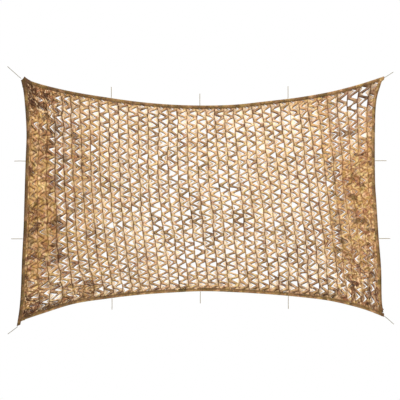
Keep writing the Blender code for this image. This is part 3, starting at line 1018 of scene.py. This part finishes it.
    faces, kept = one_sheet(net.faces, len(c))
    obj = mesh_piece("net_cloth_cut", np.column_stack((x, y, z))[kept], faces,
                     mat)
    put_vectors(obj, "cloth", np.column_stack(
        (c / COLUMNS * FLAT[0], -r / ROWS * FLAT[1], np.zeros(len(c))))[kept])
    put_floats(obj, "shade", shade[kept])
    put_floats(obj, "tone", tone_at(c, r)[kept])
    put_floats(obj, "thin", (0.50 * smooth(0.3, 0.8, open_here))[kept])
    put_floats(obj, "fleck", ((0.12 + 0.68 * bunch)
                              * smooth(0.0, 0.4, rim))[kept])
    put_floats(obj, "pale", pale[kept])
    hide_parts("net_cloth")
    return obj


CAMO = camo("camo_cloth")
CAMO_EDGE = camo("camo_binding", STRIP, 0.9, (3.3, 5.1))
net_cloth = build_net(CAMO)


# ---------------------------------------------------------------- bindings
# (distance in from the outer fold, height) of one face of the folded strip,
# from the fold to the lip, as the sewing draws it in
FOLDED = np.array((
    (0.0000, 0.0000), (0.0006, 0.0019), (0.0022, 0.0034), (0.0050, 0.0042),
    (0.0078, 0.0035), (0.0096, 0.0024), (0.0105, 0.0019), (0.0116, 0.0024),
    (0.0145, 0.0031), (0.0185, 0.0032), (0.0215, 0.0028), (0.0228, 0.0023),
    (0.0240, 0.0026), (0.0262, 0.0027), (0.0275, 0.0023), (0.0278, 0.0017),
))
INNER = np.array((
    (0.0272, 0.0011), (0.0230, 0.0010), (0.0170, 0.0010), (0.0150, 0.0006),
))
SEWN = (0.0105, 0.0228)              # lines of stitches, in from the fold
pucker, slub, lean_over = Field(21, 0.0085), Field(22, 0.050), Field(23, 0.11)
patchy = Field(24, 0.035)


def face_height(along, d, h, seed):
    """Height of the folded strip's face: puckers between the stitches."""
    puffed = 1 + 0.22 * pucker(along + seed, d * 4) * smooth(0.002, 0.008, d)
    return h * (puffed + 0.14 * slub(along + seed, d * 0))


def fold_shade(d, outer, lip):
    """Painted highlight or painted shade from the outer fold to the lip; painted shade
    in the sewn grooves and at the lip's edge.
    """
    value = outer + (lip - outer) * smooth(0.007, 0.019, d)
    for line in SEWN:
        value = value - 0.18 * np.exp(-((d - line) / 0.0013) ** 2)
    return value - 0.12 * smooth(0.025, 0.028, d)


def along_top(s, d):
    return s, top_at(s, d)


def along_bottom(s, d):
    return s, bottom_at(s, d)


def along_left(s, d):
    return left_at(s, d), s


def along_right(s, d):
    return right_at(s, d), s


def sleeve(name, at, low, high, flip, node, seed, low_cut, high_cut, tone,
           bright, outer, lip):
    """Binding swept along an edge; the cuts give how the ends slant."""
    count = int(round((high - low) / 0.007)) + 1
    s = np.linspace(low, high, count)
    ring = [(d, h, -1) for d, h in FOLDED] + [(d, h, -1) for d, h in INNER] \
        + [(d, h, 1) for d, h in INNER[::-1]] \
        + [(d, h, 1) for d, h in FOLDED[:0:-1]]
    n = len(ring)
    verts = np.empty((count, n, 3))
    cloth = np.empty((count, n, 3))
    shade = np.empty((count, n))
    for i, (d, h, face) in enumerate(ring):
        t = (s + low_cut * d / BINDING * (1 - smooth(0, 0.04, s - low))
             + high_cut * d / BINDING * (1 - smooth(0, 0.04, high - s)))
        x, z = at(t, d)
        inner = len(FOLDED) <= i < n - len(FOLDED) + 1
        y = h if inner else face_height(t, d, h, seed)
        rolled = 0.0006 * lean_over(t, 0 * t) * (1 - smooth(0.004, 0.020, d))
        verts[:, i] = np.column_stack((x, face * y + rolled, z))
        cloth[:, i] = np.column_stack((t + seed, d + 0.07 * (face > 0) + 0 * t,
                                       seed + 0 * t))
        # the inner faces take a flat painted shade
        shade[:, i] = (0.6 if inner else fold_shade(d, outer, lip) * bright(x)
                       * (1 + 0.16 * patchy(t + seed, 0 * t)))
    j, i = np.meshgrid(np.arange(count - 1), np.arange(n), indexing="ij")
    k = (i + 1) % n
    quads = np.stack((j * n + i, j * n + k, (j + 1) * n + k, (j + 1) * n + i),
                     axis=-1).reshape(-1, 4)
    faces = [tuple(q) if flip else tuple(q[::-1]) for q in quads]
    # the cut ends: two arms joined at the fold
    half = len(FOLDED) + len(INNER)
    for j, turn in ((0, flip), (count - 1, not flip)):
        loop = [j * n + i for i in range(n)]
        for poly in (loop[:half], loop[half:] + loop[:1],
                     [loop[0], loop[half - 1], loop[half]]):
            faces.append(tuple(poly[::-1] if turn else poly))
    obj = mesh_piece(name, verts.reshape(-1, 3), faces, CAMO_EDGE)
    put_vectors(obj, "cloth", cloth)
    put_floats(obj, "shade", shade)
    put_floats(obj, "tone", np.broadcast_to(tone, count * n))
    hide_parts(node)
    return obj


reach = np.arange(12) * 0.004
x_tl, x_tr = TOP_EDGE[0][0] + 0.018, TOP_EDGE[-1][0]
z_bl, x_br = BOTTOM_EDGE[0][1], BOTTOM_EDGE[-1][0]
left_low, left_high = LEFT_EDGE[0][0], float(top_at(LEFT_EDGE[-1][1] + 0.004,
                                                    BINDING)) - 2 * GAP
right_high = float(top_at(x_tr - 0.010, BINDING)) - 2 * GAP
right_low = float(bottom_at(x_br - 0.012, BINDING)) + 2 * GAP
bottom_from = float(left_at(z_bl + 0.006, BINDING)) + 2 * GAP

EDGES = (
    # name, reader, from, to, flip, seed, slant of the ends, tone, brightness,
    # and how light the outer fold and the lip are, as painted highlight and painted
    # shade
    ("top", along_top, x_tl, x_tr, True, 10.0, 0.0, 0.0, 0.02,
     lambda x: 0.95 + 0.10 * x / 1.5, 1.12, 0.62),
    ("bottom", along_bottom, bottom_from, x_br, False, 20.0, -0.003, 0.0, 0.01,
     lambda x: 0.99 + 0.03 * x / 1.5, 1.14, 0.66),
    ("left", along_left, left_low, left_high, True, 30.0, 0.013, -0.008, 0.05,
     lambda x: 0.90 + 0 * x, 0.66, 1.00),
    ("right", along_right, right_low, right_high, False, 40.0, 0.008, -0.006,
     0.00, lambda x: 0.98 - 0.22 * smooth(1.462, 1.495, x), 0.66, 1.08),
)
sleeves = [sleeve("binding_" + name + "_fold", at, low, high, flip,
                  "binding_" + name, seed, low_cut, high_cut, tone, bright,
                  outer, lip)
           for name, at, low, high, flip, seed, low_cut, high_cut, tone, bright,
           outer, lip in EDGES]

# ------------------------------------------------------ folded corner ends


def corner_end(name, outline, heart, thick, tone, value, seed):
    """Gathered cloth sewn over a corner joint: a small padded patch.

    outline: (x, z) round the patch; heart: a place well inside it."""
    pts = np.array(outline, float)
    rim = []
    for a, b in zip(pts, np.roll(pts, -1, axis=0)):
        steps = max(1, int(np.hypot(*(b - a)) / 0.003))
        rim += [a + (b - a) * k / steps for k in range(steps)]
    rim = np.array(rim)
    count = len(rim)
    heart = np.array(heart)
    levels = (0.0, 0.05, 0.14, 0.30, 0.50, 0.72)
    rough = Field(seed, 0.006)
    folds = Field(seed + 1, 0.016)
    verts, shades = [], []
    for face in (-1, 1):
        for q in levels:
            ring = rim + (heart - rim) * q
            swell = (1 - (1 - min(q / 0.35, 1.0)) ** 2) ** 0.5
            y = thick * (0.25 + 0.75 * swell) * (
                1 + 0.20 * rough(ring[:, 0], ring[:, 1])
                + 0.28 * folds(ring[:, 0] + ring[:, 1], ring[:, 0] * 0.3))
            if q == 0.0:
                y = y * 0.0
            verts.append(np.column_stack((ring[:, 0], face * y, ring[:, 1])))
            # painted highlight on the padded middle and painted shade towards the rim,
            # varied along the folds
            shades.append(value * (0.80 + 0.25 * swell
                                   + 0.10 * folds(ring[:, 0], ring[:, 1])))
        verts.append(np.array([[heart[0], face * thick * 1.02, heart[1]]]))
        shades.append(np.array([value * 1.05]))
    per = count * len(levels) + 1
    faces = []
    for side, base in ((0, 0), (1, per)):
        for j in range(len(levels) - 1):
            for i in range(count):
                k = (i + 1) % count
                a, b = base + j * count + i, base + j * count + k
                faces.append((a, b, b + count, a + count) if side
                             else (a, a + count, b + count, b))
        for i in range(count):
            k = (i + 1) % count
            last = base + (len(levels) - 1) * count
            faces.append((last + i, last + k, base + per - 1) if side
                         else (last + k, last + i, base + per - 1))
    # one rim shared by both faces
    verts = np.concatenate(verts)
    shades = np.concatenate(shades)
    remap = np.arange(len(verts))
    remap[per:per + count] = np.arange(count)
    used = np.unique(remap)
    place_of = np.full(len(verts), -1)
    place_of[used] = np.arange(len(used))
    faces = [tuple(place_of[remap[k]] for k in f) for f in faces]
    verts, shades = verts[used], shades[used]
    area = 0.5 * np.sum(rim[:, 0] * np.roll(rim[:, 1], -1)
                        - np.roll(rim[:, 0], -1) * rim[:, 1])
    if area < 0:
        faces = [f[::-1] for f in faces]
    obj = mesh_piece(name, verts, faces, CAMO_EDGE)
    put_vectors(obj, "cloth", verts[:, (0, 2, 1)] + np.array((0, 0, seed)))
    put_floats(obj, "shade", shades)
    put_floats(obj, "tone", np.full(len(verts), tone))
    return obj


corners = [
    corner_end("corner_end_tl", (
        (-1.4983, 0.2076), (-1.4870, 0.2155), (-1.4800, 0.2235),
        (-1.4685, 0.2398), (-1.4560, 0.2290), (-1.4380, 0.2160),
        (-1.4180, 0.2050), (-1.4230, 0.1790), (-1.4440, 0.1800),
        (-1.4580, 0.1690), (-1.4620, 0.1480), (-1.4850, 0.1480),
        (-1.4890, 0.1700), (-1.4930, 0.1900)), (-1.4640, 0.2000),
        0.0056, 0.16, 0.66, 51),
    corner_end("corner_end_bl", (
        (-1.5040, -1.7870), (-1.4860, -1.7790), (-1.4640, -1.7720),
        (-1.4640, -1.7500), (-1.4800, -1.7430), (-1.4960, -1.7560),
        (-1.5060, -1.7700)), (-1.4860, -1.7650), 0.0048, 0.04, 0.90, 53),
    corner_end("corner_end_br", (
        (1.4790, -1.6480), (1.4850, -1.6640), (1.4930, -1.6770),
        (1.5005, -1.6880), (1.4900, -1.6895), (1.4815, -1.6945),
        (1.4870, -1.7150), (1.4960, -1.7350), (1.4990, -1.7455),
        (1.4800, -1.7400), (1.4560, -1.7240), (1.4580, -1.7000),
        (1.4560, -1.6700), (1.4600, -1.6500)), (1.4720, -1.6950),
        0.0056, 0.12, 0.78, 55),
    corner_end("corner_end_tr", (
        (1.5030, 0.2405), (1.5045, 0.2300), (1.5010, 0.2120),
        (1.4880, 0.2020), (1.4700, 0.1980), (1.4550, 0.2050),
        (1.4600, 0.2260), (1.4800, 0.2335)), (1.4820, 0.2180),
        0.0052, 0.00, 1.02, 57),
]

# ---------------------------------------------------------------- stitches


def thread_material():
    m = Nodes("thread")
    coord = m.attribute("cloth", vector=True)
    twist = m.noise(coord, 1500.0, 2.0, 0.6)
    colour = m.mix(m.step(twist, 0.35, 0.7), srgb(98, 78, 52), srgb(142, 116, 78))
    m.link(colour, m.shader.inputs["Base Color"])
    m.shader.inputs["Roughness"].default_value = 0.6
    m.bump(twist, 0.3, 0.0002)
    return m.mat


def stitches(name, face, mat):
    """Lines of short raised stitches along every binding, in one mesh."""
    rng = np.random.default_rng(31)
    ring = 5
    profile = ((0.0, 0.12, -0.0004), (0.2, 0.85, 0.00015), (0.5, 1.0, 0.0003),
               (0.8, 0.85, 0.00015), (1.0, 0.12, -0.0004))
    pitch, size = 0.0062, 0.0042
    blocks, faces, total = [], [], 0
    for _, at, low, high, _, seed, *_ in EDGES:
        for inset in SEWN:
            start = np.arange(low + 0.016, high - 0.020, pitch)
            start = start + rng.uniform(-0.0003, 0.0003, len(start))
            wob = inset + rng.uniform(-0.00025, 0.00025, len(start))
            mid = start + size / 2
            depth = face_height(mid, inset, np.interp(inset, *FOLDED.T), seed)
            verts = np.empty((len(start), len(profile) * ring, 3))
            for j, (q, wide, rise) in enumerate(profile):
                px, pz = at(start + size * q, wob)
                qx, qz = at(start + size * q, wob + 0.001)
                sx, sz = qx - px, qz - pz
                norm = np.hypot(sx, sz)
                sx, sz = sx / norm, sz / norm
                for i in range(ring):
                    w = 2 * math.pi * i / ring
                    across = math.cos(w) * 0.00042 * wide
                    up = math.sin(w) * 0.00034 * wide + rise
                    verts[:, j * ring + i] = np.column_stack(
                        (px + sx * across, face * (depth + up),
                         pz + sz * across))
            one = [(j * ring + i, j * ring + (i + 1) % ring,
                    (j + 1) * ring + (i + 1) % ring, (j + 1) * ring + i)
                   for j in range(len(profile) - 1) for i in range(ring)]
            one += [tuple(range(ring))[::-1],
                    tuple((len(profile) - 1) * ring + i for i in range(ring))]
            for k in range(len(start)):
                base = total + k * len(profile) * ring
                faces += [tuple(base + v for v in f) for f in one]
            total += len(start) * len(profile) * ring
            blocks.append(verts.reshape(-1, 3))
    verts = np.concatenate(blocks)
    obj = mesh_piece(name, verts, faces, mat)
    put_vectors(obj, "cloth", verts)
    return obj


THREAD = thread_material()
sewing = [stitches("stitches_front", -1, THREAD),
          stitches("stitches_back", 1, THREAD)]

# ---------------------------------------------------------------- stage
floor_mesh = bpy.data.meshes.new("floor")
floor_mesh.from_pydata([(-9, -9, -3.0), (9, -9, -3.0), (9, 3.0, -3.0),
                        (-9, 3.0, -3.0)], [], [(0, 1, 2, 3)])
floor = bpy.data.objects.new("floor", floor_mesh)
scene.collection.objects.link(floor)
floor_mat = bpy.data.materials.new("floor")
floor_mat.use_nodes = True
floor_shader = floor_mat.node_tree.nodes["Principled BSDF"]
floor_shader.inputs["Base Color"].default_value = (0.86, 0.86, 0.85, 1)
floor_shader.inputs["Roughness"].default_value = 0.8
floor_mesh.materials.append(floor_mat)

world = bpy.data.worlds.new("studio")
scene.world = world
world.use_nodes = True
tree = world.node_tree
tree.nodes.clear()
seen = tree.nodes.new("ShaderNodeBackground")
seen.inputs["Color"].default_value = (1, 1, 1, 1)
lit = tree.nodes.new("ShaderNodeBackground")
lit.inputs["Color"].default_value = (1, 0.99, 0.97, 1)
lit.inputs["Strength"].default_value = 0.515
path = tree.nodes.new("ShaderNodeLightPath")
both = tree.nodes.new("ShaderNodeMixShader")
out = tree.nodes.new("ShaderNodeOutputWorld")
tree.links.new(path.outputs["Is Camera Ray"], both.inputs[0])
tree.links.new(lit.outputs[0], both.inputs[1])
tree.links.new(seen.outputs[0], both.inputs[2])
tree.links.new(both.outputs[0], out.inputs["Surface"])


def softbox(name, where, towards, size, power, colour=(1, 1, 1)):
    data = bpy.data.lights.new(name, "AREA")
    data.shape = "SQUARE"
    data.size = size
    data.energy = power
    data.color = colour
    lamp = bpy.data.objects.new(name, data)
    lamp.location = where
    lamp.rotation_euler = (Vector(towards) - Vector(where)).to_track_quat(
        "-Z", "Y").to_euler()
    scene.collection.objects.link(lamp)


softbox("key", (1.9, -5.2, 4.0), (0, 0, -0.8), 2.4, 606.0, (1, 0.97, 0.93))
softbox("fill", (-5.0, -5.0, 1.0), (0, 0, -0.8), 4.0, 60.0)
softbox("rear", (-1.5, 6.0, 3.0), (0, 0, -0.8), 4.0, 160.0)

scene.view_settings.view_transform = "Standard"
